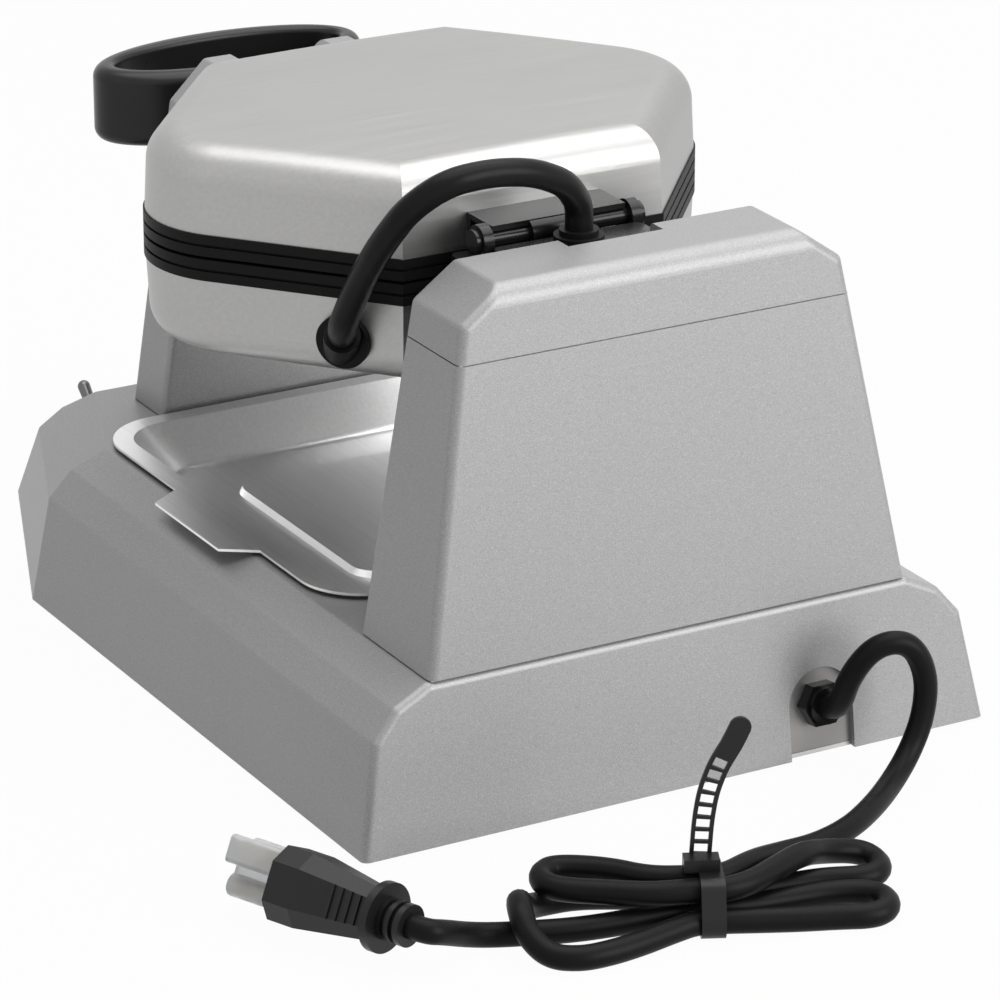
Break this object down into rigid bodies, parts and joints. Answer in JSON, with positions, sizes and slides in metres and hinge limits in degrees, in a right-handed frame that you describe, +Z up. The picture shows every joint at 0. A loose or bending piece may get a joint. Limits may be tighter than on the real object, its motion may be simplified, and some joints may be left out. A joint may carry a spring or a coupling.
{
  "type": "bubble waffle maker",
  "caption": "Countertop flip waffle maker: hexagonal hinged iron with round cells, turning between two towers on a base with drip tray, dial and mains cord.",
  "frame": {"origin": "on the table, under the middle of the iron and of the base", "axes": "+Z up, +Y towards the rear tower and the mains inlet, the control panel and the handle at -Y, +X to the right seen from the panel"},
  "size_m": [0.3094, 0.5026, 0.221],
  "materials": {
    "sand_paint": "fine sand textured silver grey paint",
    "brushed_sheet": "satin brushed stainless sheet",
    "black_rubber": "matt black",
    "black_plastic": "satin black",
    "coated_iron": "dark non stick coating",
    "turned_steel": "turned, satin",
    "amber_lens": "clear amber",
    "green_lens": "clear green",
    "blade_brass": "plain",
    "grey_sleeve": "translucent grey"
  },
  "bodies": {
    "base": {"base_housing": "sand_paint", "base_pan": "brushed_sheet", "pan_screws": "turned_steel", "foot_1": "black_rubber", "foot_2": "black_rubber", "foot_3": "black_rubber", "foot_4": "black_rubber", "rear_tower": "sand_paint", "rear_tower_cap": "sand_paint", "rear_bush": "black_plastic", "bearing_block": "turned_steel", "front_tower": "sand_paint", "front_tower_cap": "sand_paint", "cradle_liner": "black_plastic", "inlet_plate": "turned_steel", "strain_relief": "black_plastic", "terminal_block": "black_plastic", "toggle_body": "black_plastic", "thermostat_body": "black_plastic", "lamp_1": "amber_lens", "lamp_2": "green_lens", "cord_lead": "black_rubber", "cord_hank": "black_rubber", "cord_tail": "black_rubber", "cord_tie": "black_plastic", "plug_body": "black_plastic", "plug_blades": "blade_brass", "plug_sleeve": "grey_sleeve"},
    "lower_iron": {"lower_shell": "brushed_sheet", "lower_gasket": "black_rubber", "lower_plate": "coated_iron", "lower_heater": "turned_steel", "lower_neck": "turned_steel", "pivot_box": "sand_paint", "pivot_shaft": "turned_steel", "shaft_ring": "turned_steel", "hinge_pin": "turned_steel", "box_grommet": "black_rubber", "shell_grommet": "black_rubber", "conduit": "black_rubber"},
    "lid": {"upper_shell": "brushed_sheet", "upper_gasket": "black_rubber", "upper_plate": "coated_iron", "upper_heater": "turned_steel", "lid_hinge": "brushed_sheet", "upper_neck": "turned_steel", "handle_ring": "black_plastic"},
    "tray": {"tray": "brushed_sheet"},
    "toggle": {"toggle_lever": "turned_steel"},
    "dial": {"dial": "black_plastic"}
  },
  "joints": [
    {"name": "iron_rotate", "type": "hinge", "parent": "base", "child": "lower_iron", "pos_m": [0, 0, 0.1662], "axis": [0, 1, 0], "range_deg": [-180, 0]},
    {"name": "lid_open", "type": "hinge", "parent": "lower_iron", "child": "lid", "pos_m": [0, 0.0975, 0.1826], "axis": [-1, 0, 0], "range_deg": [0, 75]},
    {"name": "tray_lift", "type": "slide", "parent": "base", "child": "tray", "axis": [0, 0, 1], "range_m": [0, 0.045]},
    {"name": "toggle_tilt", "type": "hinge", "parent": "base", "child": "toggle", "pos_m": [0.0685, -0.14568, 0.04443], "axis": [1, 0, 0], "range_deg": [0, 24]},
    {"name": "dial_turn", "type": "hinge", "parent": "base", "child": "dial", "pos_m": [0, -0.16242, 0.03034], "axis": [0, -0.727, 0.6866], "range_deg": [0, 270]}
  ]
}
